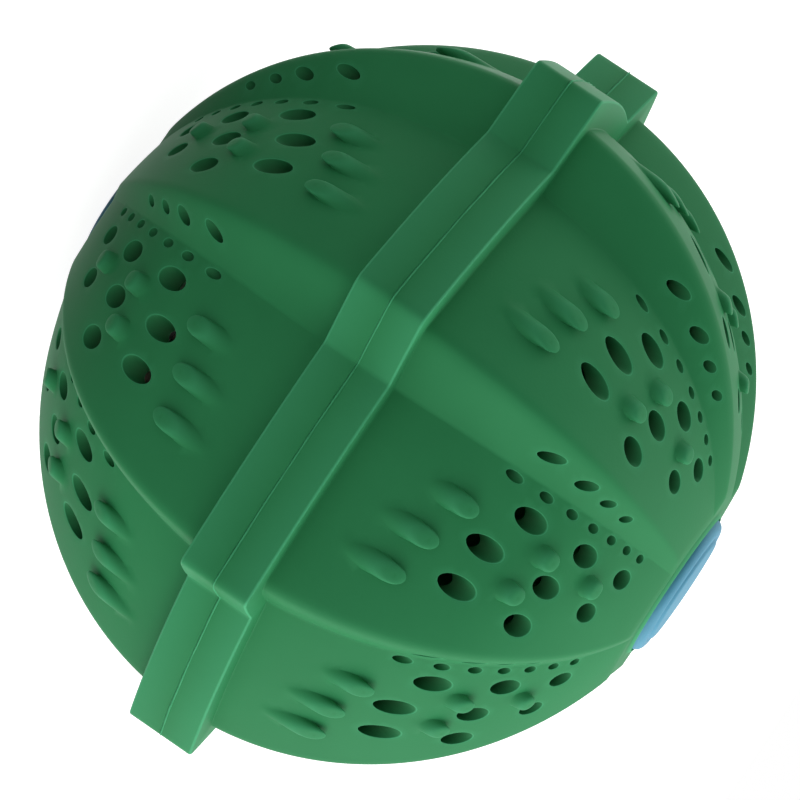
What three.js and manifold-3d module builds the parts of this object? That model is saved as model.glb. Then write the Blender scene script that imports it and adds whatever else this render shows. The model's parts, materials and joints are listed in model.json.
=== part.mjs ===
// A perforated laundry ball: two mirrored rubber half shells with saw-tooth panels, joined at a
// raised band, a blue cap and a disc magnet at each pole, and loose ceramic beads inside.
// Millimetres, +Z up along the pole axis, origin under the lower cap, which the ball stands on.

import * as THREE from 'three';
import { mergeGeometries, mergeVertices } from 'three/addons/utils/BufferGeometryUtils.js';
import Module from 'manifold-3d';

const wasm = await Module();
wasm.setup();

// Half shell: a ring of saw teeth whose size shrinks towards the pole as an ellipse does.
// A tooth's faces are flat but for a slight bulge, as a share of the curve from notch to crest.
// The pole is cut off flat, which leaves a level land round the cap.
const toothCount = 8;
const footRadius = 40;
const toothRise = 6.4;
const rampAtBand = 9.1;
const rampAtPole = 6.7;
const faceBulge = 0.2;
const crestSoftness = 0.3;
const poleHeight = 42.4;
const landDrop = 2.1;
const wall = 2;

// Raised band round the seam, which follows the same teeth
const bandHalfWidth = 4.5;
const bandProud = 3.4;
const bandRise = 6.9;
const bandSoftness = 0.1;
const bandEdge = 0.3;

// Seam: a lip inside the lower half enters a rebate inside the upper half
const seamGap = 0.3;
const lipThickness = 1.5;
const lipHeight = 2.4;
const lapClearance = 0.3;

// Pole cap, its seat, and the magnet in the pocket under it
const capRadius = 9.3;
const capSink = 1.4;
const capCrown = 1.0;
const capPlateau = 7.0;
const capBody = 1.3;
const capClearance = 0.3;
const seatPadWall = 1.4;
const seatPadDepth = 1.8;
const spigotRadius = 4.6;
const spigotHeight = 0.8;
const magnetRadius = 4.8;
const magnetHeight = 3.0;
const magnetClearance = 0.3;
const pocketWall = 2.0;
const pocketFloor = 1.5;

// Hole and nub pattern of one panel, measured from its foot line, which leans off the meridian
const footLean = 1.42;
const holeAcross = 3.83;
const holePitch = 5.38;
const holeInward = 19.35;
const holeRowPitch = 5.82;
const columnBow = [0, 1.43, 1.12];
const holeDiameters = [2.5, 2.75, 2.65];
const nubDiameter = 2.2;
const nubStand = 0.7;
const outerNubShift = 1.1;
const flankHoleTurn = 5.6;
const flankHoleRadii = [26.8, 29.7, 32.6, 36.7];
const flankHoleDiameters = [1.2, 1.3, 1.6, 2.0];

// Loose ceramic beads, in rings on the lower half's floor
const beadDiameter = 8;
const beadGap = 0.75;
const beadRingRadii = [12.6, 21.8];
const beadRingCounts = [8, 16];
const beadRingTurns = [0, 5];

// Facets
const riseSteps = 3;
const shellRows = 6;
const hollowRows = 5;
const holeSides = 6;
const flankHoleSides = 4;
const nubSides = 5;
const roundSides = 16;
const beadSides = 8;
const beadRows = 4;

// Sizes that follow
const pitch = 360 / toothCount;
const crestTurn = pitch - rampAtBand;
const crestHalf = 0.5 * crestSoftness * rampAtBand;
const landHeight = poleHeight - landDrop;
const capRimHeight = poleHeight - capSink;
const ballCentre = capRimHeight + capCrown;
const capBottom = capRimHeight - capBody;
const seatFloor = capBottom - capClearance;
const pocketRadius = magnetRadius + magnetClearance;
const magnetTop = capBottom - spigotHeight - magnetClearance;
const pocketBottom = magnetTop - magnetHeight - magnetClearance;
const seamFace = seamGap / 2;
const cutterReach = 3;

const radians = THREE.MathUtils.degToRad;
const degrees = THREE.MathUtils.radToDeg;

// Materials
function finish(color, roughness, metalness = 0) {
  return new THREE.MeshStandardMaterial({ color, roughness, metalness });
}

const greenRubber = finish('#2f7d4f', 0.55);
const bluePlastic = finish('#6fa5c4', 0.4);
const magnetFerrite = finish('#3b3b3d', 0.6, 0.3);
const beadCeramics = [
  finish('#e6dfd2', 0.7),
  finish('#8d8986', 0.75),
  finish('#c7a496', 0.7),
  finish('#8b5f49', 0.75),
];

// Closed mesh to solid and back
function solidOf(geometry) {
  const bare = geometry.clone();
  bare.deleteAttribute('normal');
  bare.deleteAttribute('uv');
  const merged = mergeVertices(bare);
  return new wasm.Manifold(new wasm.Mesh({
    numProp: 3,
    vertProperties: new Float32Array(merged.attributes.position.array),
    triVerts: new Uint32Array(merged.index.array),
  }));
}

function geometryOf(solid) {
  const mesh = solid.getMesh();
  const geometry = new THREE.BufferGeometry();
  geometry.setAttribute('position', new THREE.BufferAttribute(mesh.vertProperties, 3));
  geometry.setIndex(new THREE.BufferAttribute(mesh.triVerts, 1));
  return geometry;
}

// Mirror image below the seam, with its faces turned out again
function mirrored(geometry) {
  const image = geometry.clone().scale(1, 1, -1);
  const corners = image.index.array;
  for (let i = 0; i < corners.length; i += 3) {
    [corners[i], corners[i + 1]] = [corners[i + 1], corners[i]];
  }
  return image;
}

// Saw tooth: 0 in the notch, 1 at the crest, with a softened crest. Turns are in degrees.
function softMin(a, b, softness) {
  const blend = Math.max(softness - Math.abs(a - b), 0);
  return Math.min(a, b) - (blend * blend) / (4 * softness);
}

function rampAt(latitude) {
  return THREE.MathUtils.lerp(rampAtBand, rampAtPole, latitude / 90);
}

// Share of the tooth's rise that its nearly flat face has reached, a part of the way from notch to crest
function faceShare(part, span) {
  const crestRadius = footRadius + toothRise;
  const near = footRadius * Math.sin(radians(part * span));
  const far = crestRadius * Math.sin(radians((1 - part) * span));
  const flatRadius = (footRadius * crestRadius * Math.sin(radians(span))) / (near + far);
  return THREE.MathUtils.lerp((flatRadius - footRadius) / toothRise, part, faceBulge);
}

function tooth(turn, ramp, softness) {
  const past = THREE.MathUtils.euclideanModulo(turn - crestTurn, pitch);
  const rise = pitch - ramp;
  if (past > ramp) {
    return softMin(faceShare((past - ramp) / rise, rise), 1 + (pitch - past) / ramp, softness);
  }
  return softMin(faceShare(1 - past / ramp, ramp), 1 + past / rise, softness);
}

// Turns of the points round one ring: the notch, steps up the rise, and two across the crest
function ringTurns(ramp) {
  const notch = crestTurn + ramp - pitch;
  const turns = [];
  for (let k = 0; k < toothCount; k += 1) {
    for (let i = 0; i <= riseSteps; i += 1) {
      turns.push(k * pitch + THREE.MathUtils.lerp(notch, crestTurn - crestHalf, i / riseSteps));
    }
    turns.push(k * pitch + crestTurn + crestHalf);
  }
  return turns;
}

function ring(height, ramp, radiusAt) {
  return ringTurns(ramp).map((turn) => {
    const radius = radiusAt(turn);
    return new THREE.Vector3(radius * Math.cos(radians(turn)), radius * Math.sin(radians(turn)), height);
  });
}

function bandRing(height, inset) {
  const base = footRadius + bandProud - inset;
  return ring(height, rampAtBand, (turn) => base + bandRise * tooth(turn, rampAtBand, bandSoftness));
}

// Ring of the shell's outer skin, or of a skin that lies deeper by the given depth
function shellRing(latitude, depth, height = (poleHeight - depth) * Math.sin(radians(latitude))) {
  const ramp = rampAt(latitude);
  const shrink = Math.cos(radians(latitude));
  const base = footRadius - depth;
  return ring(height, ramp, (turn) => shrink * (base + toothRise * tooth(turn, ramp, crestSoftness)));
}

// Closed solid through rings of equal count, with a fan at each end
function loft(rings, top) {
  const count = rings[0].length;
  const points = [...rings.flat(), new THREE.Vector3(0, 0, rings[0][0].z), top];
  const bottomPoint = points.length - 2;
  const topPoint = points.length - 1;
  const lastRow = (rings.length - 1) * count;
  const corners = [];
  for (let i = 0; i < count; i += 1) {
    const next = (i + 1) % count;
    corners.push(bottomPoint, next, i);
    corners.push(topPoint, lastRow + i, lastRow + next);
    for (let row = 0; row < lastRow; row += count) {
      corners.push(row + i, row + next, row + count + next);
      corners.push(row + i, row + count + next, row + count + i);
    }
  }
  const geometry = new THREE.BufferGeometry().setFromPoints(points);
  geometry.setIndex(corners);
  return solidOf(geometry);
}

function rimPrism(depth, low, high) {
  return loft([shellRing(0, depth, low), shellRing(0, depth, high)], new THREE.Vector3(0, 0, high));
}

function disc(radius, low, high) {
  const geometry = new THREE.CylinderGeometry(radius, radius, high - low, roundSides);
  return geometry.rotateX(Math.PI / 2).translate(0, 0, (low + high) / 2);
}

// Latitude and height of the skin above a point in plan
function skinAt(x, y, depth) {
  const turn = degrees(Math.atan2(y, x));
  let latitude = 45;
  for (let pass = 0; pass < 6; pass += 1) {
    const radius = footRadius - depth + toothRise * tooth(turn, rampAt(latitude), crestSoftness);
    latitude = degrees(Math.acos(Math.min(Math.hypot(x, y) / radius, 1)));
  }
  return (poleHeight - depth) * Math.sin(radians(latitude));
}

// Point in plan on one panel, from its foot line: across it, and inward along it from the seam's notch
function panelPoint(panel, across, inward) {
  const lean = radians(footLean);
  const point = new THREE.Vector2(
    footRadius - inward * Math.cos(lean) + across * -Math.sin(lean),
    across * Math.cos(lean) - inward * Math.sin(lean),
  );
  return point.rotateAround(new THREE.Vector2(), radians(panel * pitch));
}

// Round pin along the pole axis, as the mould pulls: it cuts a hole or stands up as a nub
function polePin(point, diameter, sides) {
  const low = bandHalfWidth + bandEdge;
  const high = poleHeight + cutterReach;
  const geometry = new THREE.CylinderGeometry(diameter / 2, diameter / 2, high - low, sides);
  return geometry.rotateX(Math.PI / 2).translate(point.x, point.y, (low + high) / 2);
}

function panelHoles(panel) {
  const cutters = [];
  for (let row = 0; row < columnBow.length; row += 1) {
    for (let column = 0; column < Math.min(row + 2, columnBow.length); column += 1) {
      const inward = holeInward - row * holeRowPitch - columnBow[column];
      const point = panelPoint(panel, holeAcross + column * holePitch, inward);
      cutters.push(polePin(point, holeDiameters[row], holeSides));
    }
  }
  const flank = radians(panel * pitch - flankHoleTurn);
  flankHoleRadii.forEach((radius, i) => {
    const point = new THREE.Vector2(radius * Math.cos(flank), radius * Math.sin(flank));
    cutters.push(polePin(point, flankHoleDiameters[i], flankHoleSides));
  });
  return cutters;
}

// Nubs: round pins along the pole axis in the middles of the hole grid, later trimmed to a raised skin
function panelNubs(panel) {
  const pins = [];
  const last = columnBow.length - 1;
  for (let row = 0; row <= last; row += 1) {
    for (let column = 0; column <= row; column += 1) {
      const bow = (columnBow[column] + columnBow[Math.min(column + 1, last)]) / 2;
      const shift = row === last ? outerNubShift : 0;
      const inward = holeInward - (row + 0.5) * holeRowPitch - bow - shift;
      const point = panelPoint(panel, holeAcross + (column + 0.5) * holePitch, inward);
      pins.push(polePin(point, nubDiameter, nubSides));
    }
  }
  return pins;
}

// Half shell above the seam, with a lip added inside its rim or a rebate cut there
function halfShell({ lip, rebate }) {
  const firstLatitude = degrees(Math.asin(bandHalfWidth / poleHeight));
  const outerRings = [
    bandRing(seamFace, 0),
    bandRing(bandHalfWidth - bandEdge, 0),
    bandRing(bandHalfWidth, bandEdge),
  ];
  const raisedRings = [];
  for (let row = 0; row < shellRows; row += 1) {
    const latitude = THREE.MathUtils.lerp(firstLatitude, 90, row / shellRows);
    outerRings.push(shellRing(latitude, 0));
    raisedRings.push(shellRing(latitude, -nubStand));
  }
  const innerRings = [shellRing(0, wall, -lipHeight - cutterReach)];
  for (let row = 0; row < hollowRows; row += 1) {
    innerRings.push(shellRing((90 * row) / hollowRows, wall));
  }
  const panels = Array.from({ length: toothCount }, (_, panel) => panel);
  const raisedSkin = loft(raisedRings, new THREE.Vector3(0, 0, poleHeight + nubStand));
  const nubs = solidOf(mergeGeometries(panels.flatMap(panelNubs))).intersect(raisedSkin);
  const holes = solidOf(mergeGeometries(panels.flatMap(panelHoles)));
  const hollow = loft(innerRings, new THREE.Vector3(0, 0, poleHeight - wall));
  const seatPad = solidOf(disc(capRadius + capClearance + seatPadWall, seatFloor - seatPadDepth, seatFloor));
  const boss = solidOf(disc(pocketRadius + pocketWall, pocketBottom - pocketFloor, seatFloor)).add(seatPad);
  const seat = solidOf(disc(capRadius + capClearance, seatFloor, poleHeight + cutterReach));
  const pocket = solidOf(disc(pocketRadius, pocketBottom, seatFloor + cutterReach));
  const poleTip = solidOf(disc(footRadius, landHeight, poleHeight + cutterReach));
  let walls = loft(outerRings, new THREE.Vector3(0, 0, poleHeight)).subtract(poleTip).add(nubs);
  if (lip) {
    walls = walls.add(lip);
  }
  walls = walls.subtract(hollow);
  if (rebate) {
    walls = walls.subtract(rebate);
  }
  return geometryOf(walls.subtract(holes).add(boss).subtract(seat).subtract(pocket));
}

const lipDepth = wall - lipThickness;
const lipReach = lipHeight - seamFace;
const seamLip = rimPrism(lipDepth, -lipReach, seamFace + lapClearance);
const seamRebate = rimPrism(lipDepth - lapClearance, -cutterReach, lipReach + lapClearance);
const upperShell = halfShell({ rebate: seamRebate });
const lowerShell = mirrored(halfShell({ lip: seamLip }));

// Pole cap: a low crowned disc with a rounded rim, and a spigot that centres it in the pocket
function poleCap() {
  const crown = new THREE.Vector2(capPlateau, capRimHeight + capCrown);
  const rim = new THREE.Vector2(capRadius, capRimHeight);
  const shoulder = new THREE.Vector2(rim.x, crown.y);
  const profile = [
    new THREE.Vector2(0, capBottom - spigotHeight),
    new THREE.Vector2(spigotRadius, capBottom - spigotHeight),
    new THREE.Vector2(spigotRadius, capBottom),
    new THREE.Vector2(capRadius, capBottom),
    ...new THREE.QuadraticBezierCurve(rim, shoulder, crown).getPoints(3),
    new THREE.Vector2(0, crown.y),
  ];
  return new THREE.LatheGeometry(profile, roundSides).rotateX(Math.PI / 2);
}

// Rest height of a bead: lowered until it comes a gap away from the floor of the lower half
function beadHeight(x, y) {
  const reach = beadDiameter / 2 + beadGap;
  const steps = 24;
  let height = -poleHeight;
  for (let i = -steps; i <= steps; i += 1) {
    for (let j = -steps; j <= steps; j += 1) {
      const dx = (reach * i) / steps;
      const dy = (reach * j) / steps;
      const rise = reach * reach - dx * dx - dy * dy;
      if (rise >= 0) {
        height = Math.max(height, Math.sqrt(rise) - skinAt(x + dx, y + dy, wall));
      }
    }
  }
  return height;
}

// Assembly about the ball's centre, which is lifted so that the lower cap stands on the floor
const ball = new THREE.Group();
ball.position.z = ballCentre;

function place(name, geometry, material) {
  const mesh = new THREE.Mesh(geometry, material);
  mesh.name = name;
  ball.add(mesh);
  return mesh;
}

const capGeometry = geometryOf(solidOf(poleCap()));
const magnetGeometry = geometryOf(solidOf(disc(magnetRadius, magnetTop - magnetHeight, magnetTop)));
place('upper_shell', upperShell, greenRubber);
place('lower_shell', lowerShell, greenRubber);
place('upper_pole_cap', capGeometry, bluePlastic);
place('lower_pole_cap', mirrored(capGeometry), bluePlastic);
place('upper_magnet', magnetGeometry, magnetFerrite);
place('lower_magnet', mirrored(magnetGeometry), magnetFerrite);

const beadGeometry = geometryOf(solidOf(new THREE.SphereGeometry(beadDiameter / 2, beadSides, beadRows)));
let beadNumber = 0;
beadRingRadii.forEach((radius, ringNumber) => {
  const count = beadRingCounts[ringNumber];
  for (let i = 0; i < count; i += 1) {
    const angle = radians(beadRingTurns[ringNumber] + (360 * i) / count);
    const x = radius * Math.cos(angle);
    const y = radius * Math.sin(angle);
    const material = beadCeramics[beadNumber % beadCeramics.length];
    beadNumber += 1;
    const bead = place(`ceramic_bead_${String(beadNumber).padStart(2, '0')}`, beadGeometry, material);
    bead.position.set(x, y, beadHeight(x, y));
  }
});

const laundryBall = new THREE.Group();
laundryBall.add(ball);

export default laundryBall;
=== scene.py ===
import json
import math

import bmesh
import bpy
import numpy as np
from mathutils import Matrix, Vector
from mathutils.geometry import delaunay_2d_cdt


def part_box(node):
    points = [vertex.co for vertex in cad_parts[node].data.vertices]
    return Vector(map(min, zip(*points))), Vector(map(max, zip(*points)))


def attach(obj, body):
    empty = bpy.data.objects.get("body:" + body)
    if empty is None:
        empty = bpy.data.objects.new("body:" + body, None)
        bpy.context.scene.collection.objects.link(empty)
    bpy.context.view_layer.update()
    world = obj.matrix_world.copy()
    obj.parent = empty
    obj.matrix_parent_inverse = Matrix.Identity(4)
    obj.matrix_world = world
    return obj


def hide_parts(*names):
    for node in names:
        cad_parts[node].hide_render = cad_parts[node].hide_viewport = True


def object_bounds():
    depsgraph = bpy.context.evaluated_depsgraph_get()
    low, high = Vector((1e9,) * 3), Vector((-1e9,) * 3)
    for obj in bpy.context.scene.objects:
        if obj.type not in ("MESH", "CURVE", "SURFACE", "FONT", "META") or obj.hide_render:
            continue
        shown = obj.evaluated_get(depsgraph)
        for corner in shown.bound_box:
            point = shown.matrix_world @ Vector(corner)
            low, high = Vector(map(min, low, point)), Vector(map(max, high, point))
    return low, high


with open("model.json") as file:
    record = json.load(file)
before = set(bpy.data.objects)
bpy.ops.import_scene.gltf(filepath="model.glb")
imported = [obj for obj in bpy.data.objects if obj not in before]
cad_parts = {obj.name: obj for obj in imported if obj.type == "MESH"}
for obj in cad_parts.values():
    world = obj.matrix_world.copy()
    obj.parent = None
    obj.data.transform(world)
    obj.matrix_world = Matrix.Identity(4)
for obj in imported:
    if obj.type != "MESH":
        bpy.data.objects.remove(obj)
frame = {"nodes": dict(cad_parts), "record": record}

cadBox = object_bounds()  # the CAD model's box, before anything is dressed
mm = 0.001

# The ball stands on its lower cap, so its centre is half way up the CAD box
ballCentre = (cadBox[0].z + cadBox[1].z) / 2 / mm
print(f"frame loaded, ball centre {ballCentre:.2f} mm above the floor")


# Colours and nodes

def linear(hexCode):
    channels = [int(hexCode[i:i + 2], 16) / 255 for i in (1, 3, 5)]
    return tuple(c / 12.92 if c <= 0.04045 else ((c + 0.055) / 1.055) ** 2.4 for c in channels) + (1.0,)


def addNode(tree, kind, settings=None, *ordered, **named):
    # settings are the node's own properties; inputs follow in order or by name, each a value or an output to join
    node = tree.nodes.new(kind)
    for name, value in (settings or {}).items():
        setattr(node, name, value)
    sockets = [s for s in node.inputs if s.enabled]
    inputs = list(zip(sockets, ordered))
    for name, value in named.items():
        inputs.append((next(s for s in sockets if s.name.replace(" ", "") == name), value))
    for socket, value in inputs:
        if isinstance(value, bpy.types.NodeSocket):
            tree.links.new(value, socket)
        else:
            socket.default_value = value
    return node


def newMaterial(name):
    material = bpy.data.materials.new(name)
    material.use_nodes = True
    tree = material.node_tree
    tree.nodes.clear()
    return material, tree, addNode(tree, "ShaderNodeTexCoord").outputs["Object"]


def perMetre(sizeInMm):
    # a noise with this scale has features of about that size
    return 1 / (sizeInMm * mm)


# Thermoplastic rubber, injection moulded in a lightly eroded mould: satin, paler along rims, edges, nub tops and the
# seam fin, partly as thin edges are and partly as a painted highlight, and darker down the holes as painted shade.
# The grain is drawn coarser than the real one, so that it shows.
rubberLook = {
    # the edge colour is partly the paler thin edge and partly a painted highlight; the hole wall colour is painted
    # shade
    "deep": "#2a7b4b", "pale": "#338755", "edge": "#44a06f", "holeWall": "#1a4a27",
    "roughness": 0.5, "roughnessSwing": 0.08, "gloss": 0.06, "ior": 1.5,
    "mottleMm": 14.0, "mottleDetail": 3.0, "grainMm": 0.35, "grainDetail": 2.0, "grainDepthMm": 0.012,
}


def greenRubber(look):
    material, tree, coord = newMaterial("moulded_green_rubber")
    mottle = addNode(tree, "ShaderNodeTexNoise", Vector=coord, Scale=perMetre(look["mottleMm"]),
                     Detail=look["mottleDetail"])
    tone = addNode(tree, "ShaderNodeMix", {"data_type": "RGBA"}, Factor=mottle.outputs["Fac"],
                   A=linear(look["deep"]), B=linear(look["pale"]))
    # above zero this attribute paints the edges paler, partly as thin edges and partly as a painted highlight
    paleEdgeAndPaintedLightMask = addNode(tree, "ShaderNodeAttribute", {"attribute_name": "paleEdgeAndPaintedLightAttribute"})
    paleEdgedAndHighlighted = addNode(tree, "ShaderNodeMix", {"data_type": "RGBA"}, Factor=paleEdgeAndPaintedLightMask.outputs["Fac"],
                    A=tone.outputs[2], B=linear(look["edge"]))
    # the attribute is below zero on the walls of the holes, which get painted shade there
    holeShadeShare = addNode(tree, "ShaderNodeMath", {"operation": "MULTIPLY"}, paleEdgeAndPaintedLightMask.outputs["Fac"], -1.0)
    holeWallShaded = addNode(tree, "ShaderNodeMix", {"data_type": "RGBA"}, Factor=holeShadeShare.outputs[0],
                     A=paleEdgedAndHighlighted.outputs[2], B=linear(look["holeWall"]))
    grain = addNode(tree, "ShaderNodeTexNoise", Vector=coord, Scale=perMetre(look["grainMm"]),
                    Detail=look["grainDetail"])
    rough = addNode(tree, "ShaderNodeMapRange", Value=mottle.outputs["Fac"],
                    ToMin=look["roughness"] - look["roughnessSwing"] / 2,
                    ToMax=look["roughness"] + look["roughnessSwing"] / 2)
    bump = addNode(tree, "ShaderNodeBump", Height=grain.outputs["Fac"], Distance=look["grainDepthMm"] * mm)
    skin = addNode(tree, "ShaderNodeBsdfPrincipled", BaseColor=holeWallShaded.outputs[2],
                   Roughness=rough.outputs["Result"], IOR=look["ior"], SpecularIORLevel=look["gloss"],
                   Normal=bump.outputs["Normal"])
    addNode(tree, "ShaderNodeOutputMaterial", Surface=skin.outputs["BSDF"])
    return material


# Polypropylene, injection moulded: satin blue with a fine eroded grain, drawn coarser than the real one
capLook = {
    "deep": "#478aa6", "pale": "#5b9eb7", "roughness": 0.5, "gloss": 0.15, "ior": 1.49,
    "mottleMm": 5.0, "mottleDetail": 3.0, "grainMm": 0.3, "grainDetail": 2.0, "grainDepthMm": 0.02,
}


def bluePlastic(look):
    material, tree, coord = newMaterial("moulded_blue_polypropylene")
    mottle = addNode(tree, "ShaderNodeTexNoise", Vector=coord, Scale=perMetre(look["mottleMm"]),
                     Detail=look["mottleDetail"])
    tone = addNode(tree, "ShaderNodeMix", {"data_type": "RGBA"}, Factor=mottle.outputs["Fac"],
                   A=linear(look["deep"]), B=linear(look["pale"]))
    grain = addNode(tree, "ShaderNodeTexNoise", Vector=coord, Scale=perMetre(look["grainMm"]),
                    Detail=look["grainDetail"])
    bump = addNode(tree, "ShaderNodeBump", Height=grain.outputs["Fac"], Distance=look["grainDepthMm"] * mm)
    skin = addNode(tree, "ShaderNodeBsdfPrincipled", BaseColor=tone.outputs[2],
                   Roughness=look["roughness"], IOR=look["ior"], SpecularIORLevel=look["gloss"],
                   Normal=bump.outputs["Normal"])
    addNode(tree, "ShaderNodeOutputMaterial", Surface=skin.outputs["BSDF"])
    return material


# Fired earthenware beads, unglazed: matt, with darker grog specks
beadLooks = {
    "white_ceramic": {"clay": "#e6dfd2", "speck": "#b9ad9a"},
    "grey_ceramic": {"clay": "#8d8986", "speck": "#5f5b58"},
    "pink_ceramic": {"clay": "#c7a496", "speck": "#936d5e"},
    "brown_ceramic": {"clay": "#8b5f49", "speck": "#583827"},
}
claySurface = {
    "roughness": 0.72, "ior": 1.52, "speckMm": 0.5, "speckDetail": 2.0, "speckShare": 0.62, "speckEdge": 0.06,
    "grainMm": 0.4, "grainDetail": 3.0, "grainDepthMm": 0.03,
}


def firedClay(slotName, look, surface):
    material, tree, coord = newMaterial(f"fired_{slotName}")
    specks = addNode(tree, "ShaderNodeTexNoise", Vector=coord, Scale=perMetre(surface["speckMm"]),
                     Detail=surface["speckDetail"])
    share = addNode(tree, "ShaderNodeMapRange", Value=specks.outputs["Fac"], FromMin=surface["speckShare"],
                    FromMax=surface["speckShare"] + surface["speckEdge"])
    tone = addNode(tree, "ShaderNodeMix", {"data_type": "RGBA"}, Factor=share.outputs["Result"],
                   A=linear(look["clay"]), B=linear(look["speck"]))
    grain = addNode(tree, "ShaderNodeTexNoise", Vector=coord, Scale=perMetre(surface["grainMm"]),
                    Detail=surface["grainDetail"])
    bump = addNode(tree, "ShaderNodeBump", Height=grain.outputs["Fac"], Distance=surface["grainDepthMm"] * mm)
    skin = addNode(tree, "ShaderNodeBsdfPrincipled", BaseColor=tone.outputs[2],
                   Roughness=surface["roughness"], IOR=surface["ior"], Normal=bump.outputs["Normal"])
    addNode(tree, "ShaderNodeOutputMaterial", Surface=skin.outputs["BSDF"])
    return material


# Sintered ferrite, ground: near black with a grey sheen
ferriteLook = {"deep": "#2f2f31", "pale": "#47474a", "roughness": 0.5, "ior": 2.0, "grainMm": 0.6, "grainDetail": 4.0}


def sinteredFerrite(look):
    material, tree, coord = newMaterial("sintered_ferrite")
    grain = addNode(tree, "ShaderNodeTexNoise", Vector=coord, Scale=perMetre(look["grainMm"]),
                    Detail=look["grainDetail"])
    tone = addNode(tree, "ShaderNodeMix", {"data_type": "RGBA"}, Factor=grain.outputs["Fac"],
                   A=linear(look["deep"]), B=linear(look["pale"]))
    skin = addNode(tree, "ShaderNodeBsdfPrincipled", BaseColor=tone.outputs[2], Roughness=look["roughness"],
                   IOR=look["ior"])
    addNode(tree, "ShaderNodeOutputMaterial", Surface=skin.outputs["BSDF"])
    return material


rubber = greenRubber(rubberLook)
blue = bluePlastic(capLook)
clays = {slotName: firedClay(slotName, look, claySurface) for slotName, look in beadLooks.items()}
ferrite = sinteredFerrite(ferriteLook)
print("materials ready")


# Half shell: skin of saw teeth, ellipse-shaped towards the pole. Sizes in mm, turns and latitudes in degrees.
shell = {
    "teeth": 8, "footRadius": 40.0, "toothRise": 6.4, "rampAtBand": 9.1, "rampAtPole": 6.7,
    "bulge": 0.45, "crestSoft": 0.3, "footSoft": 0.04,
    "poleHeight": 42.4, "land": 40.3, "landSoft": 0.12, "wall": 1.8,
    "cutTurn": 31.5,  # panels are cut on the rise, clear of every hole and nub
}
# Its mesh: spacing in mm, the fewest columns, and gaps as shares of a column or of the spacing
grid = {
    "step": 0.95, "insideStep": 1.9, "fewestColumns": 6, "columnGap": 0.45, "seatGap": 0.4,
    "startLatitude": 45.0, "latitudeRounds": 8, "tolerance": 1e-7,
}
pitch = 360 / shell["teeth"]
crestTurn = pitch - shell["rampAtBand"]


def softMin(a, b, softness):
    blend = np.maximum(softness - np.abs(a - b), 0)
    return np.minimum(a, b) - blend * blend / (4 * softness)


def faceShare(part, span):
    # share of the rise that a nearly flat tooth face has reached, a part of the way from notch to crest
    foot, rise = shell["footRadius"], shell["toothRise"]
    near = foot * np.sin(np.radians(part * span))
    far = (foot + rise) * np.sin(np.radians((1 - part) * span))
    flat = (foot * (foot + rise) * np.sin(np.radians(span)) / (near + far) - foot) / rise
    return flat + (part - flat) * shell["bulge"]


def tooth(turn, ramp, crestSoft):
    # 0 in the notch and 1 at the crest; the crest is rounded and the notch has a small fillet
    past = np.mod(turn - crestTurn, pitch)
    rise = pitch - ramp
    down = softMin(faceShare(1 - past / ramp, ramp), 1 + past / rise, crestSoft)
    up = softMin(faceShare((past - ramp) / rise, rise), 1 + (pitch - past) / ramp, crestSoft)
    return -softMin(-down, -up, shell["footSoft"])


def rampAt(latitude):
    return shell["rampAtBand"] + (shell["rampAtPole"] - shell["rampAtBand"]) * latitude / 90


def skinRadius(turn, latitude, depth):
    return shell["footRadius"] - depth + shell["toothRise"] * tooth(turn, rampAt(latitude), shell["crestSoft"])


def latitudeAt(x, y, depth):
    # found by repeating, because the teeth change with latitude
    turn = np.degrees(np.arctan2(y, x))
    latitude = np.full(np.shape(turn), grid["startLatitude"])
    for _ in range(grid["latitudeRounds"]):
        reach = np.hypot(x, y) / skinRadius(turn, latitude, depth)
        latitude = np.degrees(np.arccos(np.minimum(reach, 1)))
    return latitude


def skinHeight(x, y, depth):
    # the outer skin is cut off flat round the cap
    height = (shell["poleHeight"] - depth) * np.sin(np.radians(latitudeAt(x, y, depth)))
    return softMin(height, shell["land"] - depth, shell["landSoft"]) if depth < shell["wall"] else height


def plan(radius, turn):
    return radius * np.cos(np.radians(turn)), radius * np.sin(np.radians(turn))


def skinPlan(turn, latitude, depth):
    return plan(skinRadius(turn, latitude, depth) * math.cos(math.radians(latitude)), turn)


def arc(share):
    return math.sin(share * math.pi / 2), math.cos(share * math.pi / 2)


def ringAngles(sides):
    return np.arange(sides) * 2 * math.pi / sides


# Holes and nubs of one panel, from its foot line: across it, and inward along it from the band's notch
pattern = {
    "footLean": 1.42, "across": 3.8, "pitch": 5.42, "inward": 19.35, "rowPitch": 5.9, "bow": (0.1, 1.65, 1.4),
    "holeDiameters": (2.5, 2.75, 2.65), "holeRim": 0.1, "holeSides": 24,
    # over a rim, from skin to wall: share of the turn, and how pale or dark it is painted outside and inside the
    # shell: above zero a paler edge, partly thin and partly a painted highlight, below zero painted shade on the hole
    # wall
    "holeEdge": ((0.0, 0.15, 0.0), (0.3, 0.9, 0.0), (0.65, 0.5, 0.0), (1.0, -0.3, -1.0)),
    "weepAcross": 0.65, "weepInward": 19.93, "weepPitch": 2.471, "weepCount": 7, "weepDiameter": 1.15,
    "flankTurn": -5.6, "flankRadii": (26.8, 29.7, 32.6, 36.3), "flankDiameters": (1.15, 1.25, 1.6, 1.55),
    "smallRim": 0.07, "smallSides": 16,
    "nubStand": 1.05, "nubLevel": 0.25, "nubInward": 0.72, "outerNubShift": 1.0, "nubSides": 28,
    "clearance": 0.25,  # between a hole or nub and the free points of the mesh
}
# Section of a nub: distance from its middle in mm, share of its height, and how pale it is, partly its thin edge and
# partly a painted highlight on its top and shoulder
nubSection = ((0.4, 1.0, 0.15), (0.8, 0.985, 0.2), (1.03, 0.93, 0.35), (1.17, 0.83, 0.45), (1.26, 0.67, 0.3),
              (1.32, 0.42, 0.1), (1.38, 0.15, 0.0), (1.46, 0.0, 0.0))


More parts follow.
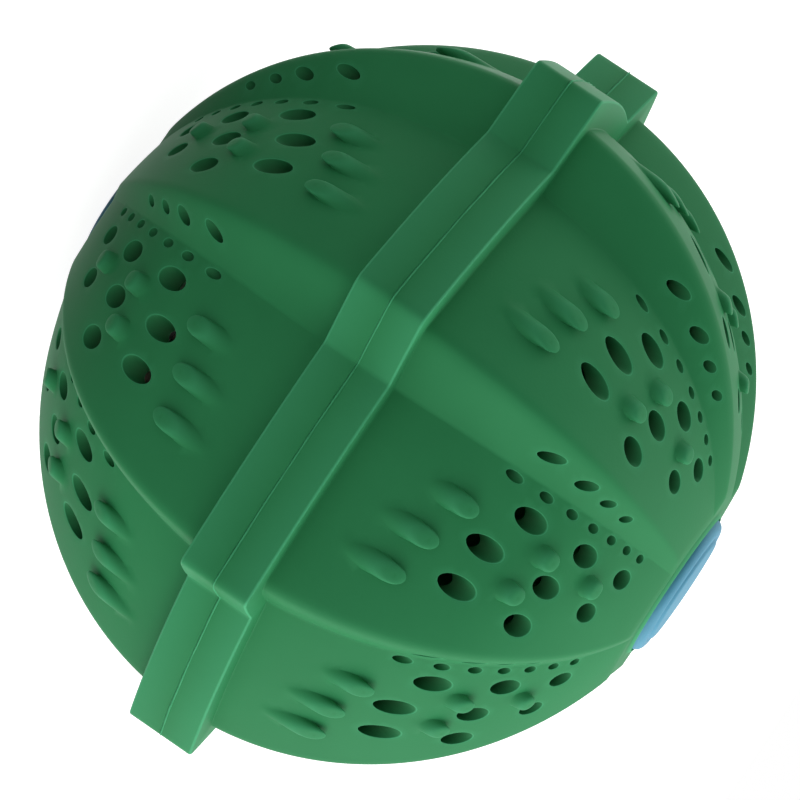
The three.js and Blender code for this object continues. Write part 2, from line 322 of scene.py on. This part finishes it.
def panelPoint(across, inward):
    lean = math.radians(pattern["footLean"])
    x = shell["footRadius"] - inward * math.cos(lean) - across * math.sin(lean)
    y = across * math.cos(lean) - inward * math.sin(lean)
    return x, y


def nubOffset(away, angle):
    lean = math.radians(pattern["footLean"])
    inward, across = away * pattern["nubInward"] * math.cos(angle), away * math.sin(angle)
    return inward * math.cos(lean) - across * math.sin(lean), across * math.cos(lean) + inward * math.sin(lean)


def panelHoles():
    holes = []
    rows = len(pattern["bow"])
    for row in range(rows):
        for column in range(min(row + 2, rows)):
            inward = pattern["inward"] - row * pattern["rowPitch"] - pattern["bow"][column]
            place = panelPoint(pattern["across"] + column * pattern["pitch"], inward)
            holes.append((*place, pattern["holeDiameters"][row] / 2, pattern["holeRim"], pattern["holeSides"]))
    for i in range(pattern["weepCount"]):
        place = panelPoint(pattern["weepAcross"], pattern["weepInward"] - i * pattern["weepPitch"])
        holes.append((*place, pattern["weepDiameter"] / 2, pattern["smallRim"], pattern["smallSides"]))
    for radius, diameter in zip(pattern["flankRadii"], pattern["flankDiameters"]):
        place = plan(radius, pattern["flankTurn"])
        holes.append((*place, diameter / 2, pattern["smallRim"], pattern["smallSides"]))
    return holes


def panelNubs():
    nubs = []
    last = len(pattern["bow"]) - 1
    for row in range(last + 1):
        for column in range(row + 1):
            bow = (pattern["bow"][column] + pattern["bow"][min(column + 1, last)]) / 2
            shift = pattern["outerNubShift"] if row == last else 0
            inward = pattern["inward"] - (row + 0.5) * pattern["rowPitch"] - bow - shift
            nubs.append(panelPoint(pattern["across"] + (column + 0.5) * pattern["pitch"], inward))
    return nubs


# A mesh in the making: points in mm, faces, and at each point how pale or dark it is painted: above zero paler thin
# edges with a painted highlight, below zero painted shade down the holes
class EdgedMesh:
    def __init__(self):
        self.points = []
        self.thin = []
        self.faces = []

    def add(self, x, y, z, thin=0.0):
        self.points.append((float(x), float(y), float(z)))
        self.thin.append(float(thin))
        return len(self.points) - 1

    def bridge(self, lower, upper, closed=False):
        for a, b, c, d in zip(lower, lower[1:], upper, upper[1:]):
            self.faces.append((a, b, d, c))
        if closed:
            self.faces.append((lower[-1], lower[0], upper[0], upper[-1]))
        return upper


lowTurn = shell["cutTurn"] - pitch
middleTurn = shell["cutTurn"] - pitch / 2
crestColumns = np.array([-3.2, -2.2, -1.5, -0.95, -0.45, 0.0, 0.45, 0.95, 1.5, 2.2, 3.2])
footColumns = np.array([-1.0, -0.5, -0.22, 0.0, 0.22, 0.5, 1.0])


def turnsAt(latitude, spacing, stagger):
    # turns of one row: close together at the crest and the foot, evenly spread elsewhere
    special = np.concatenate([crestTurn - pitch + crestColumns,
                              rampAt(latitude) - shell["rampAtBand"] + footColumns])
    width = math.radians(pitch) * shell["footRadius"] * math.cos(math.radians(latitude))
    count = max(int(round(width / spacing)), grid["fewestColumns"])
    even = lowTurn + (np.arange(count) + stagger) * pitch / count
    gap = grid["columnGap"] * pitch / count
    clear = np.min(np.abs(even[:, None] - special[None, :]), axis=1) > gap
    inside = (even > lowTurn + gap) & (even < shell["cutTurn"] - gap)
    return special, even[clear & inside]


def flatten(x, y, depth):
    # near true-size map of the skin, in which the panel is triangulated
    turn = np.degrees(np.arctan2(y, x))
    latitude = np.radians(latitudeAt(x, y, depth))
    across = np.radians(turn - middleTurn) * np.cos(latitude) * (shell["footRadius"] - depth)
    return across, latitude * (shell["poleHeight"] - depth)


def skinPatch(mesh, depth, spacing, bottomTurns, bottomHeight, topRadius, topTurns, holes, nubs):
    reach = shell["poleHeight"] - depth
    bottomLatitude = math.degrees(math.asin(bottomHeight / reach))
    topLatitude = float(latitudeAt(*plan(topRadius, np.array(shell["cutTurn"])), depth))
    landLatitude = math.degrees(math.asin(shell["land"] / shell["poleHeight"]))
    stops = [bottomLatitude, landLatitude, topLatitude] if depth == 0 else [bottomLatitude, topLatitude]
    rows = [bottomLatitude]
    for low, high in zip(stops, stops[1:]):
        rowCount = int(math.ceil(math.radians(high - low) * reach / spacing))
        rows += list(np.linspace(low, high, rowCount + 1)[1:])
    keys, edges = [], []

    def put(x, y, lift=0.0, thin=0.0, height=None):
        keys.append(flatten(x, y, depth))
        return mesh.add(x, y, skinHeight(x, y, depth - lift) if height is None else height, thin)

    def closeUp(ring):
        edges.extend(zip(ring, ring[1:] + ring[:1]))

    first = len(mesh.points)
    bottom = [put(*skinPlan(t, bottomLatitude, depth)) for t in bottomTurns]
    right = [put(*skinPlan(shell["cutTurn"], r, depth)) for r in rows[1:-1]]
    top = [put(*plan(topRadius, t)) for t in topTurns]
    left = [put(*skinPlan(lowTurn, r, depth)) for r in rows[1:-1]]
    closeUp(bottom + right + top[::-1] + left[::-1])

    discs = []
    rims = []
    for x, y, radius, rim, sides in holes:
        for share, thin, inside in pattern["holeEdge"]:
            s, c = arc(share)
            away, sink = radius + rim * (1 - s), rim * (1 - c)
            ring = [put(x + away * math.cos(a), y + away * math.sin(a), -sink if depth == 0 else sink,
                        thin if depth == 0 else inside) for a in ringAngles(sides)]
            closeUp(ring)
        discs.append((x, y, radius + rim + pattern["clearance"]))
        rims.append(ring)
    for x, y in nubs:
        middleTop = skinHeight(x, y, -pattern["nubStand"])
        put(x, y, pattern["nubStand"])
        for away, share, thin in nubSection:
            ring = []
            for a in ringAngles(pattern["nubSides"]):  # an oval pin, its top a little more level than the skin
                px, py = (c + d for c, d in zip((x, y), nubOffset(away, a)))
                base, raised = skinHeight(px, py, 0.0), skinHeight(px, py, -pattern["nubStand"])
                raised += (middleTop - raised) * pattern["nubLevel"]
                ring.append(put(px, py, thin=thin, height=base + (raised - base) * share))
            closeUp(ring)
        discs.append((x, y, nubSection[-1][0] + pattern["clearance"]))
    discs = np.array(discs)

    def clear(x, y):
        return np.all(np.hypot(discs[:, 0] - x, discs[:, 1] - y) > discs[:, 2])

    before = {}
    for number, latitude in enumerate(rows[1:-1]):
        special, even = turnsAt(latitude, spacing, 0.5 * (number % 2))
        here, line = {}, []
        for column, turn in list(enumerate(special)) + [(None, t) for t in even]:
            x, y = skinPlan(turn, latitude, depth)
            if math.hypot(x, y) < topRadius + grid["seatGap"] * spacing or not clear(x, y):
                continue
            index = put(x, y)
            line.append((turn, index))
            if column is not None:
                here[column] = index
                old = before.get(column)
                if old is not None:
                    ox, oy, _ = mesh.points[old]
                    if clear((x + ox) / 2, (y + oy) / 2):
                        edges.append((old, index))
        before = here
        if depth == 0 and abs(latitude - landLatitude) < 1e-6:
            chain = [left[number]] + [index for _, index in sorted(line)] + [right[number]]
            edges += list(zip(chain, chain[1:]))

    flat = [Vector(k) for k in keys]
    links = [(a - first, b - first) for a, b in edges]
    # 1 keeps the triangles inside the outline
    places, _, triangles, sources, *_ = delaunay_2d_cdt(flat, links, [], 1, grid["tolerance"])
    origin = [first + source[0] for source in sources]
    holeOf = {index: number for number, ring in enumerate(rims) for index in ring}
    for face in triangles:
        corners = [origin[i] for i in face]
        owners = {holeOf.get(c) for c in corners}
        if len(owners) == 1 and None not in owners:
            continue
        mesh.faces.append(tuple(corners))
    extra = len(places) - len(keys)
    print(f"  skin at depth {depth}: {len(keys)} points, {len(triangles)} faces, {extra} extra")
    return bottom, top, rims


# Raised band, with its edge rounded over and a small fillet against the skin
band = {
    "halfWidth": 4.5, "proud": 3.4, "rise": 6.9, "soft": 0.16, "edge": 0.3, "fillet": 0.15, "latitude": 6.0,
    "filletShares": (0.33, 0.66, 1.0),
    # over the edge: share of the turn, and how pale it is, partly the thin edge and partly a painted highlight
    "edgeShares": ((0.0, 0.4), (0.2, 1.0), (0.4, 1.0), (0.6, 1.0), (0.8, 1.0), (1.0, 0.4)),
    "seam": 0.015, "seamEdge": 0.03, "columnMm": 1.1,
}
# Seam: a lip on the lower half enters a rebate in the upper half
seam = {"lipThickness": 1.5, "lipHeight": 2.25, "clearance": 0.3, "lipChamfer": 0.3}


def bandRadius(turn):
    return shell["footRadius"] + band["proud"] + band["rise"] * tooth(turn, shell["rampAtBand"], band["soft"])


def bandSection(turn, withLip):
    # from the skin over the band and in through the seam to the hollow: radius, height and paleness, partly thin edge
    # and partly painted highlight
    z = band["halfWidth"]
    fillet, edge = band["fillet"], band["edge"]
    rise = shell["toothRise"] * tooth(turn, shell["rampAtBand"], shell["crestSoft"])
    skinHere = skinRadius(turn, band["latitude"], 0.0) * math.cos(math.asin((z + fillet) / shell["poleHeight"]))
    outer = bandRadius(turn)
    section = []
    for share in band["filletShares"]:
        s, c = arc(share)
        section.append((skinHere + fillet * (1 - c), z + fillet * (1 - s), 0.0))
    for share, thin in band["edgeShares"]:
        s, c = arc(share)
        section.append((outer - edge + edge * s, z - edge + edge * c, thin))
    nick = band["seamEdge"]
    section.append((outer, band["seam"] + nick * 2, 0.0))
    section.append((outer, band["seam"] + nick, 0.3))
    section.append((outer - nick, band["seam"], 0.6))
    foot = shell["footRadius"] + rise
    wall = shell["wall"]
    lipOuter = foot - (wall - seam["lipThickness"])
    if withLip:
        low = -seam["lipHeight"]
        section.append((lipOuter, band["seam"], 0.0))
        section.append((lipOuter, low + seam["lipChamfer"], 0.0))
        section.append((lipOuter - seam["lipChamfer"], low, 0.3))
        section.append((foot - wall, low, 0.3))
        section.append((foot - wall, 0.0, 0.0))
    else:
        high = seam["lipHeight"] + seam["clearance"]
        section.append((lipOuter + seam["clearance"], band["seam"], 0.0))
        section.append((lipOuter + seam["clearance"], high, 0.0))
    return section


# Cap seat, magnet pocket, and the pad and boss behind them, on the pole axis
seat = {
    "radius": 9.6, "edge": 0.6,
    # lip round the cap: distance outside the seat, height above the land, and how pale it is, partly the thin edge
    # and partly a painted sheen
    "lip": ((0.35, 0.2, 0.7), (0.12, 0.37, 1.0), (0.04, 0.4, 1.0), (0.0, 0.36, 0.8)),
    "floor": 39.4, "pocketRadius": 5.1, "pocketFloor": 35.3,
    "padRadius": 11.0, "padEnd": 37.6, "padFillet": 0.4, "padEdge": 0.25,
    "bossRadius": 7.1, "bossEnd": 33.8, "bossFillet": 0.6, "bossEdge": 0.4,
    "filletShares": (0.35, 0.7, 1.0), "edgeShares": (0.0, 0.35, 0.7, 1.0), "edgeThin": 0.3, "columns": 14,
}


def halfPanel(withLip):
    mesh = EdgedMesh()
    holes, nubs = panelHoles(), panelNubs()
    special, even = turnsAt(band["latitude"], band["columnMm"], 0.5)
    bandTurns = [float(t) for t in sorted([lowTurn, shell["cutTurn"], *special, *even])]
    seatTurns = [float(t) for t in np.linspace(lowTurn, shell["cutTurn"], seat["columns"] + 1)]

    bottom, top, rims = skinPatch(mesh, 0.0, grid["step"], bandTurns, band["halfWidth"] + band["fillet"],
                                  seat["radius"] + seat["edge"], seatTurns, holes, nubs)
    hollowHeight = seam["lipHeight"] + seam["clearance"]
    insideHoles = [(x, y, r, rim / 2, sides) for x, y, r, rim, sides in holes]
    inBottom, inTop, inRims = skinPatch(mesh, shell["wall"], grid["insideStep"], bandTurns, hollowHeight,
                                        seat["padRadius"] + seat["padFillet"], seatTurns, insideHoles, [])
    for outerRing, innerRing in zip(rims, inRims):
        mesh.bridge(outerRing, innerRing, closed=True)

    sections = [bandSection(t, withLip) for t in bandTurns]
    row = bottom
    for level in zip(*sections):
        ring = [mesh.add(*plan(radius, turn), z, thin) for turn, (radius, z, thin) in zip(bandTurns, level)]
        row = mesh.bridge(row, ring)
    mesh.bridge(row, inBottom)

    def ringAt(radius, height, thin=0.0):
        return [mesh.add(*plan(radius, t), height, thin) for t in seatTurns]

    def fillIn(ring, height):
        middle = mesh.add(0, 0, height)
        mesh.faces += [(a, b, middle) for a, b in zip(ring, ring[1:])]

    row = top
    for away, lift, thin in seat["lip"]:
        row = mesh.bridge(row, ringAt(seat["radius"] + away, shell["land"] + lift, thin))
    for radius, height in ((seat["radius"], seat["floor"]), (seat["pocketRadius"], seat["floor"]),
                           (seat["pocketRadius"], seat["pocketFloor"])):
        row = mesh.bridge(row, ringAt(radius, height))
    fillIn(row, seat["pocketFloor"])

    row = inTop
    for name in ("pad", "boss"):
        radius, end, fillet, edge = (seat[name + key] for key in ("Radius", "End", "Fillet", "Edge"))
        if name == "boss":
            row = mesh.bridge(row, ringAt(radius + fillet, seat["padEnd"]))
        roof = [mesh.points[i][2] for i in row]
        for share in seat["filletShares"]:
            s, c = arc(share)
            ring = [mesh.add(*plan(radius + fillet * (1 - s), turn), z - fillet * (1 - c))
                    for turn, z in zip(seatTurns, roof)]
            row = mesh.bridge(row, ring)
        for share in seat["edgeShares"]:
            s, c = arc(share)
            row = mesh.bridge(row, ringAt(radius - edge * (1 - c), end + edge * (1 - s), seat["edgeThin"]))
    fillIn(row, seat["bossEnd"])
    return mesh


# Geometry Nodes: turn one panel round the pole axis into a whole half shell
panelRing = {"mergeMm": 0.004, "smoothDegrees": 40.0}


def newTree(name, sizes, result):
    # sizes are the named inputs and their kinds, result is the name of the geometry that comes out
    tree = bpy.data.node_groups.new(name, "GeometryNodeTree")
    for title, kind in sizes.items():
        tree.interface.new_socket(title, in_out="INPUT", socket_type=f"NodeSocket{kind}")
    tree.interface.new_socket(result, in_out="OUTPUT", socket_type="NodeSocketGeometry")
    return tree, addNode(tree, "NodeGroupInput").outputs


def panelRingTree():
    tree, sizes = newTree("panel_ring", {
        "Panel": "Geometry", "Panels": "Int", "Merge distance": "Float", "Smooth angle": "Float",
        "Rubber": "Material"}, "Half")
    spots = addNode(tree, "GeometryNodePoints", Count=sizes["Panels"])
    index = addNode(tree, "GeometryNodeInputIndex")
    step = addNode(tree, "ShaderNodeMath", {"operation": "DIVIDE"}, 2 * math.pi, sizes["Panels"])
    turn = addNode(tree, "ShaderNodeMath", {"operation": "MULTIPLY"}, index.outputs[0], step.outputs[0])
    turnZ = addNode(tree, "ShaderNodeCombineXYZ", Z=turn.outputs[0])
    single = addNode(tree, "GeometryNodeGeometryToInstance", Geometry=sizes["Panel"])
    copies = addNode(tree, "GeometryNodeInstanceOnPoints", Points=spots.outputs[0], Instance=single.outputs[0],
                     Rotation=turnZ.outputs[0])
    whole = addNode(tree, "GeometryNodeRealizeInstances", Geometry=copies.outputs[0])
    sewn = addNode(tree, "GeometryNodeMergeByDistance", Geometry=whole.outputs[0], Distance=sizes["Merge distance"])
    angle = addNode(tree, "GeometryNodeInputMeshEdgeAngle")
    crease = addNode(tree, "ShaderNodeMath", {"operation": "GREATER_THAN"}, angle.outputs[0], sizes["Smooth angle"])
    smooth = addNode(tree, "GeometryNodeSetShadeSmooth", {"domain": "FACE"}, Geometry=sewn.outputs[0],
                     ShadeSmooth=True)
    sharp = addNode(tree, "GeometryNodeSetShadeSmooth", {"domain": "EDGE"}, Geometry=smooth.outputs[0],
                    Selection=crease.outputs[0], ShadeSmooth=False)
    done = addNode(tree, "GeometryNodeSetMaterial", Geometry=sharp.outputs[0], Material=sizes["Rubber"])
    addNode(tree, "NodeGroupOutput", None, done.outputs[0])
    return tree


def newObject(name, data):
    thing = bpy.data.objects.new(name, data)
    bpy.context.scene.collection.objects.link(thing)
    return thing


def runTree(name, mesh, tree, values):
    # evaluate a tree on a mesh and hand back the plain mesh it makes
    holder = newObject(name, mesh)
    modifier = holder.modifiers.new("nodes", "NODES")
    modifier.node_group = tree
    for item in tree.interface.items_tree:
        if item.in_out == "INPUT" and item.name in values:
            modifier[item.identifier] = values[item.name]
    depsgraph = bpy.context.evaluated_depsgraph_get()
    result = bpy.data.meshes.new_from_object(holder.evaluated_get(depsgraph))
    holder.modifiers.remove(modifier)
    bpy.data.objects.remove(holder)
    bpy.data.meshes.remove(mesh)
    return result


def toBlender(name, panel):
    mesh = bpy.data.meshes.new(name)
    mesh.from_pydata([tuple(c * mm for c in p) for p in panel.points], [], panel.faces)
    thin = mesh.attributes.new("paleEdgeAndPaintedLightAttribute", "FLOAT", "POINT")
    thin.data.foreach_set("value", panel.thin)
    return mesh


def outwards(mesh):
    work = bmesh.new()
    work.from_mesh(mesh)
    bmesh.ops.recalc_face_normals(work, faces=work.faces)
    openEdges = sum(1 for e in work.edges if len(e.link_faces) != 2)
    work.to_mesh(mesh)
    work.free()
    return openEdges


def settle(mesh, upright=1):
    # turn a mesh over where it belongs to the lower half, and lift it to the ball's centre
    mesh.transform(Matrix.Translation((0, 0, ballCentre * mm)) @ Matrix.Diagonal((1, 1, upright, 1)))
    return outwards(mesh)


def addPiece(name, mesh, body, slotName, *nodes):
    piece = newObject(name, mesh)
    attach(piece, body)
    if nodes:
        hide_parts(*nodes)


halves = {"upper": 1, "lower": -1}  # the lower half is the upper one upside down
ringTree = panelRingTree()
for half, upright in halves.items():
    panel = toBlender(f"{half}_panel", halfPanel(withLip=upright < 0))
    shellMesh = runTree(f"{half}_shell_dressed", panel, ringTree, {
        "Panels": shell["teeth"], "Merge distance": panelRing["mergeMm"] * mm,
        "Smooth angle": math.radians(panelRing["smoothDegrees"]), "Rubber": rubber})
    openEdges = settle(shellMesh, upright)
    addPiece(f"{half}_shell_dressed", shellMesh, f"{half}_half", "green_rubber", f"{half}_shell")
    print(f"{half} shell: {len(shellMesh.polygons)} faces, {openEdges} open edges")


# Seam flash: the thin uneven fin that the mould leaves along the seam, on the upper half, drawn fully pale, partly as
# a thin fin is and partly as a painted highlight. Sizes in mm.
flash = {
    "columns": 720, "height": 0.13, "least": 0.01, "width": 0.24, "root": 0.1, "low": 0.02, "thin": 1.0,
    "swings": ((17, 0.06, 1.0), (43, 0.04, 2.1), (97, 0.05, 0.4)),  # waves in its height: count, size and phase
    "drift": (29, 0.04, 0.7),  # one wave in its place across the seam
    "section": ((0.0, 0.0), (1.0, 0.25), (0.8, 0.6), (0.0, 1.0)),  # shares of its height and its width
}


def seamFlash():
    fin = EdgedMesh()
    for k in range(flash["columns"]):
        turn = 360 * k / flash["columns"]
        around = math.radians(turn)
        waves = sum(size * math.sin(count * around + phase) for count, size, phase in flash["swings"])
        proud = max(flash["height"] + waves, flash["least"])
        count, size, phase = flash["drift"]
        low = flash["low"] + size * (1 + math.sin(count * around + phase)) / 2
        outer = float(bandRadius(turn))
        for reach, along in flash["section"]:  # where it has no reach, it is rooted in the band
            radius = outer + proud * reach if reach else outer - flash["root"]
            fin.add(*plan(radius, turn), low + flash["width"] * along, flash["thin"])
    total, corners = len(fin.points), len(flash["section"])
    for k in range(0, total, corners):
        for a in range(corners):
            b = (a + 1) % corners
            fin.faces.append((k + a, (k + corners + a) % total, (k + corners + b) % total, k + b))
    return toBlender("seam_flash", fin)


flashMesh = seamFlash()
settle(flashMesh)
flashMesh.materials.append(rubber)
addPiece("seam_flash", flashMesh, "upper_half", "green_rubber")
print("seam flash ready")


# Pole cap: a rounded rim ring, a fine groove, and a plain plateau that stands a little higher. Sizes in mm.
cap = {
    "radius": 9.3, "rimHeight": 40.45, "ringHeight": 41.6, "ringRadius": 8.0, "rimSteps": 8, "bottom": 39.7,
    "groove": ((7.65, 41.57), (7.45, 41.5), (7.3, 41.5), (7.1, 41.68), (6.95, 41.84)),  # radius and height
    "plateau": ((6.7, 41.91), (6.1, 41.95), (4.5, 41.98), (2.2, 42.0)), "top": 42.0,
    "spigotRadius": 4.6, "spigotEnd": 38.9, "sides": 96,
}


def capProfile():
    rows = [(0.0, cap["spigotEnd"]), (cap["spigotRadius"], cap["spigotEnd"]), (cap["spigotRadius"], cap["bottom"]),
            (cap["radius"], cap["bottom"]), (cap["radius"], cap["rimHeight"])]
    for i in range(1, cap["rimSteps"] + 1):
        s, c = arc(i / cap["rimSteps"])
        rows.append((cap["ringRadius"] + (cap["radius"] - cap["ringRadius"]) * c,
                     cap["rimHeight"] + (cap["ringHeight"] - cap["rimHeight"]) * s))
    return rows + [*cap["groove"], *cap["plateau"], (0.0, cap["top"])]


def lathe(name, profile, sides):
    mesh = bpy.data.meshes.new(name)
    points, faces, rings = [], [], []
    for radius, height in profile:
        count = 1 if radius == 0 else sides
        start = len(points)
        for k in range(count):
            x, y = plan(radius, 360 * k / sides)
            points.append((x * mm, y * mm, height * mm))
        rings.append([start + k % count for k in range(sides + 1)])
    for low, high in zip(rings, rings[1:]):
        for a, b, c, d in zip(low, low[1:], high, high[1:]):
            faces.append(tuple(dict.fromkeys((a, b, d, c))))
    mesh.from_pydata(points, [], faces)
    return mesh


for half, upright in halves.items():
    capMesh = lathe(f"{half}_pole_cap_dressed", capProfile(), cap["sides"])
    settle(capMesh, upright)
    capMesh.shade_smooth()
    capMesh.materials.append(blue)
    addPiece(f"{half}_pole_cap_dressed", capMesh, f"{half}_half", "blue_plastic", f"{half}_pole_cap")
    magnetMaterials = frame["nodes"][f"{half}_magnet"].data.materials
    magnetMaterials.clear()
    magnetMaterials.append(ferrite)
print("pole caps and magnets ready")


# Ceramic beads: slightly lumpy balls, each with its own seed
bead = {
    "subdivisions": 4, "lumpMm": 0.22, "lumpSizeMm": 4.5, "lumpDetail": 1.0, "seedStep": 3.7,
    "lumpTop": 0.75,  # the noise stays below it, so lumps only sink in and a bead never grows past its size
}


def beadTree():
    tree, sizes = newTree("ceramic_bead", {
        "Seed mesh": "Geometry", "Radius": "Float", "Centre": "Vector", "Lump height": "Float",
        "Lump scale": "Float", "Seed": "Float", "Clay": "Material"}, "Bead")
    ball = addNode(tree, "GeometryNodeMeshIcoSphere", Radius=sizes["Radius"], Subdivisions=bead["subdivisions"])
    lumps = addNode(tree, "ShaderNodeTexNoise", {"noise_dimensions": "4D"}, W=sizes["Seed"],
                    Scale=sizes["Lump scale"], Detail=bead["lumpDetail"])
    centred = addNode(tree, "ShaderNodeMath", {"operation": "SUBTRACT"}, lumps.outputs[0], bead["lumpTop"])
    height = addNode(tree, "ShaderNodeMath", {"operation": "MULTIPLY"}, centred.outputs[0], sizes["Lump height"])
    normal = addNode(tree, "GeometryNodeInputNormal")
    push = addNode(tree, "ShaderNodeVectorMath", {"operation": "SCALE"}, normal.outputs[0], height.outputs[0])
    lumpy = addNode(tree, "GeometryNodeSetPosition", Geometry=ball.outputs[0], Offset=push.outputs[0])
    placed = addNode(tree, "GeometryNodeTransform", Geometry=lumpy.outputs[0], Translation=sizes["Centre"])
    smooth = addNode(tree, "GeometryNodeSetShadeSmooth", {"domain": "FACE"}, Geometry=placed.outputs[0],
                     ShadeSmooth=True)
    plain = addNode(tree, "GeometryNodeRealizeInstances", Geometry=smooth.outputs[0])
    done = addNode(tree, "GeometryNodeSetMaterial", Geometry=plain.outputs[0], Material=sizes["Clay"])
    addNode(tree, "NodeGroupOutput", None, done.outputs[0])
    return tree


clayTree = beadTree()
beadSlots = {s["node"]: s["material_slot"] for s in frame["record"]["subparts"]}
beadBodies = {n: b for b, nodes in frame["record"]["behaviour"]["bodies"].items() for n in nodes}
beadNodes = sorted(n for n in frame["nodes"] if n.startswith("ceramic_bead"))
for number, node in enumerate(beadNodes):
    low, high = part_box(node)
    beadMesh = runTree(f"{node}_dressed", bpy.data.meshes.new("seed"), clayTree, {
        "Radius": (high.z - low.z) / 2, "Centre": (low + high) / 2, "Lump height": bead["lumpMm"] * mm,
        "Lump scale": perMetre(bead["lumpSizeMm"]), "Seed": bead["seedStep"] * number,
        "Clay": clays[beadSlots[node]]})
    addPiece(f"{node}_dressed", beadMesh, beadBodies[node], beadSlots[node], node)
print(f"{len(beadNodes)} ceramic beads ready")


# White table, soft studio light, and the photograph's camera. The table is white to the eye and pale grey to the
# light, so the ball keeps its dark side; far from the ball it fades into the white backdrop.
studio = {
    "tableHalf": 6.0, "white": "#ffffff", "tableShare": 0.4,
    "glowNear": 0.92, "glowFar": 1.0, "fadeFrom": 0.12, "fadeTo": 0.7,
    "room": 0.24,
    # paper sheets: where, how bright, and the most at their edge and in their middle; below 0 they are open
    "glows": (((1, 0, 0), 1.5, (1.5, 1.5)), ((0, 1, 0), 8.0, (10.5, -4.5))),
}


def seenDirectly(tree):
    # 1 for rays from the camera, mirror-like rays and rays through clear things
    rays = addNode(tree, "ShaderNodeLightPath").outputs
    either = addNode(tree, "ShaderNodeMath", {"operation": "MAXIMUM"}, rays["Is Camera Ray"], rays["Is Glossy Ray"])
    seen = addNode(tree, "ShaderNodeMath", {"operation": "MAXIMUM"}, either.outputs[0], rays["Is Transmission Ray"])
    return seen.outputs[0]


def whiteTable():
    material, tree, coord = newMaterial("white_table")
    away = addNode(tree, "ShaderNodeVectorMath", {"operation": "LENGTH"}, coord)
    fade = addNode(tree, "ShaderNodeMapRange", Value=away.outputs["Value"], FromMin=studio["fadeFrom"],
                   FromMax=studio["fadeTo"], ToMin=studio["glowNear"], ToMax=studio["glowFar"])
    strength = addNode(tree, "ShaderNodeMath", {"operation": "MULTIPLY"}, fade.outputs["Result"], seenDirectly(tree))
    share = studio["tableShare"]
    matt = addNode(tree, "ShaderNodeBsdfDiffuse", Color=(share, share, share, 1))
    glow = addNode(tree, "ShaderNodeEmission", Color=linear(studio["white"]), Strength=strength.outputs[0])
    both = addNode(tree, "ShaderNodeAddShader", None, matt.outputs[0], glow.outputs[0])
    addNode(tree, "ShaderNodeOutputMaterial", Surface=both.outputs[0])
    return material


def roomLight(tree):
    # an even dim room, brighter towards each glowing sheet
    direction = addNode(tree, "ShaderNodeTexCoord").outputs["Generated"]
    total = studio["room"]
    for towards, strength, (edgeMost, middleMost) in studio["glows"]:
        facing = addNode(tree, "ShaderNodeVectorMath", {"operation": "DOT_PRODUCT"}, direction, towards)
        glow = addNode(tree, "ShaderNodeMath", {"operation": "MULTIPLY"}, facing.outputs["Value"], strength)
        most = addNode(tree, "ShaderNodeMapRange", Value=facing.outputs["Value"], ToMin=edgeMost, ToMax=middleMost)
        held = addNode(tree, "ShaderNodeMath", {"operation": "MINIMUM"}, glow.outputs[0], most.outputs["Result"])
        front = addNode(tree, "ShaderNodeMath", {"operation": "MAXIMUM"}, held.outputs[0], 0.0)
        total = addNode(tree, "ShaderNodeMath", {"operation": "ADD"}, front.outputs[0], total).outputs[0]
    return total


def studioWorld():
    world = bpy.data.worlds.new("studio")
    world.use_nodes = True
    tree = world.node_tree
    tree.nodes.clear()
    white = linear(studio["white"])
    room = addNode(tree, "ShaderNodeBackground", Color=white, Strength=roomLight(tree))
    paper = addNode(tree, "ShaderNodeBackground", Color=white, Strength=studio["glowFar"])
    backdrop = addNode(tree, "ShaderNodeMixShader", None, seenDirectly(tree), room.outputs[0], paper.outputs[0])
    addNode(tree, "ShaderNodeOutputWorld", Surface=backdrop.outputs[0])
    return world


tableSide = studio["tableHalf"]
tableCorners = [(x * tableSide, y * tableSide, 0) for x, y in ((-1, -1), (1, -1), (1, 1), (-1, 1))]
tableMesh = bpy.data.meshes.new("table")
tableMesh.from_pydata(tableCorners, [], [(0, 1, 2, 3)])
tableMesh.materials.append(whiteTable())
table = newObject("table", tableMesh)
bpy.context.scene.world = studioWorld()

# Lamps: place in metres from the ball's centre, size in metres, power in watts
lamps = {
    "side_softbox": {"place": (0.93, -0.21, 0.3), "size": 0.5, "power": 1.1},
    "top_softbox": {"place": (-0.34, 0.31, 0.88), "size": 0.5, "power": 0.7},
}
centre = Vector((0, 0, ballCentre * mm))
for name, lamp in lamps.items():
    lampData = bpy.data.lights.new(name, "AREA")
    lampData.shape = "DISK"
    lampData.size = lamp["size"]
    lampData.energy = lamp["power"]
    light = newObject(name, lampData)
    light.location = centre + Vector(lamp["place"])
    light.rotation_mode = "QUATERNION"
    light.rotation_quaternion = (centre - light.location).to_track_quat("-Z", "Y")

# Camera: found from the band, the panel edges and the cap in the photograph. It is rolled, because the photograph is.
view = {
    "place": (6.961, -495.282, 68.169),  # mm from the ball's centre
    "right": (-0.560001, 0.105237, 0.821781),
    "down": (0.828375, 0.087791, 0.553252),
    "focalPx": 4112.0, "framePx": 800, "centrePx": (398.14, 397.7), "sensorMm": 36.0, "clipM": (0.01, 100),
}


def photoCamera():
    data = bpy.data.cameras.new("photo_camera")
    data.sensor_width = view["sensorMm"]
    data.lens = view["focalPx"] / view["framePx"] * view["sensorMm"]
    data.shift_x = (view["framePx"] / 2 - view["centrePx"][0]) / view["framePx"]
    data.shift_y = (view["centrePx"][1] - view["framePx"] / 2) / view["framePx"]
    data.clip_start, data.clip_end = view["clipM"]
    right = Vector(view["right"]).normalized()
    up = -Vector(view["down"]).normalized()
    turned = Matrix((right, up, right.cross(up))).transposed().to_4x4()
    camera = newObject("photo_camera", data)
    camera.matrix_world = Matrix.Translation(centre + Vector(view["place"]) * mm) @ turned
    return camera


bpy.context.scene.camera = photoCamera()
bpy.context.scene.view_settings.view_transform = "Standard"
print("table, lamps and camera ready")
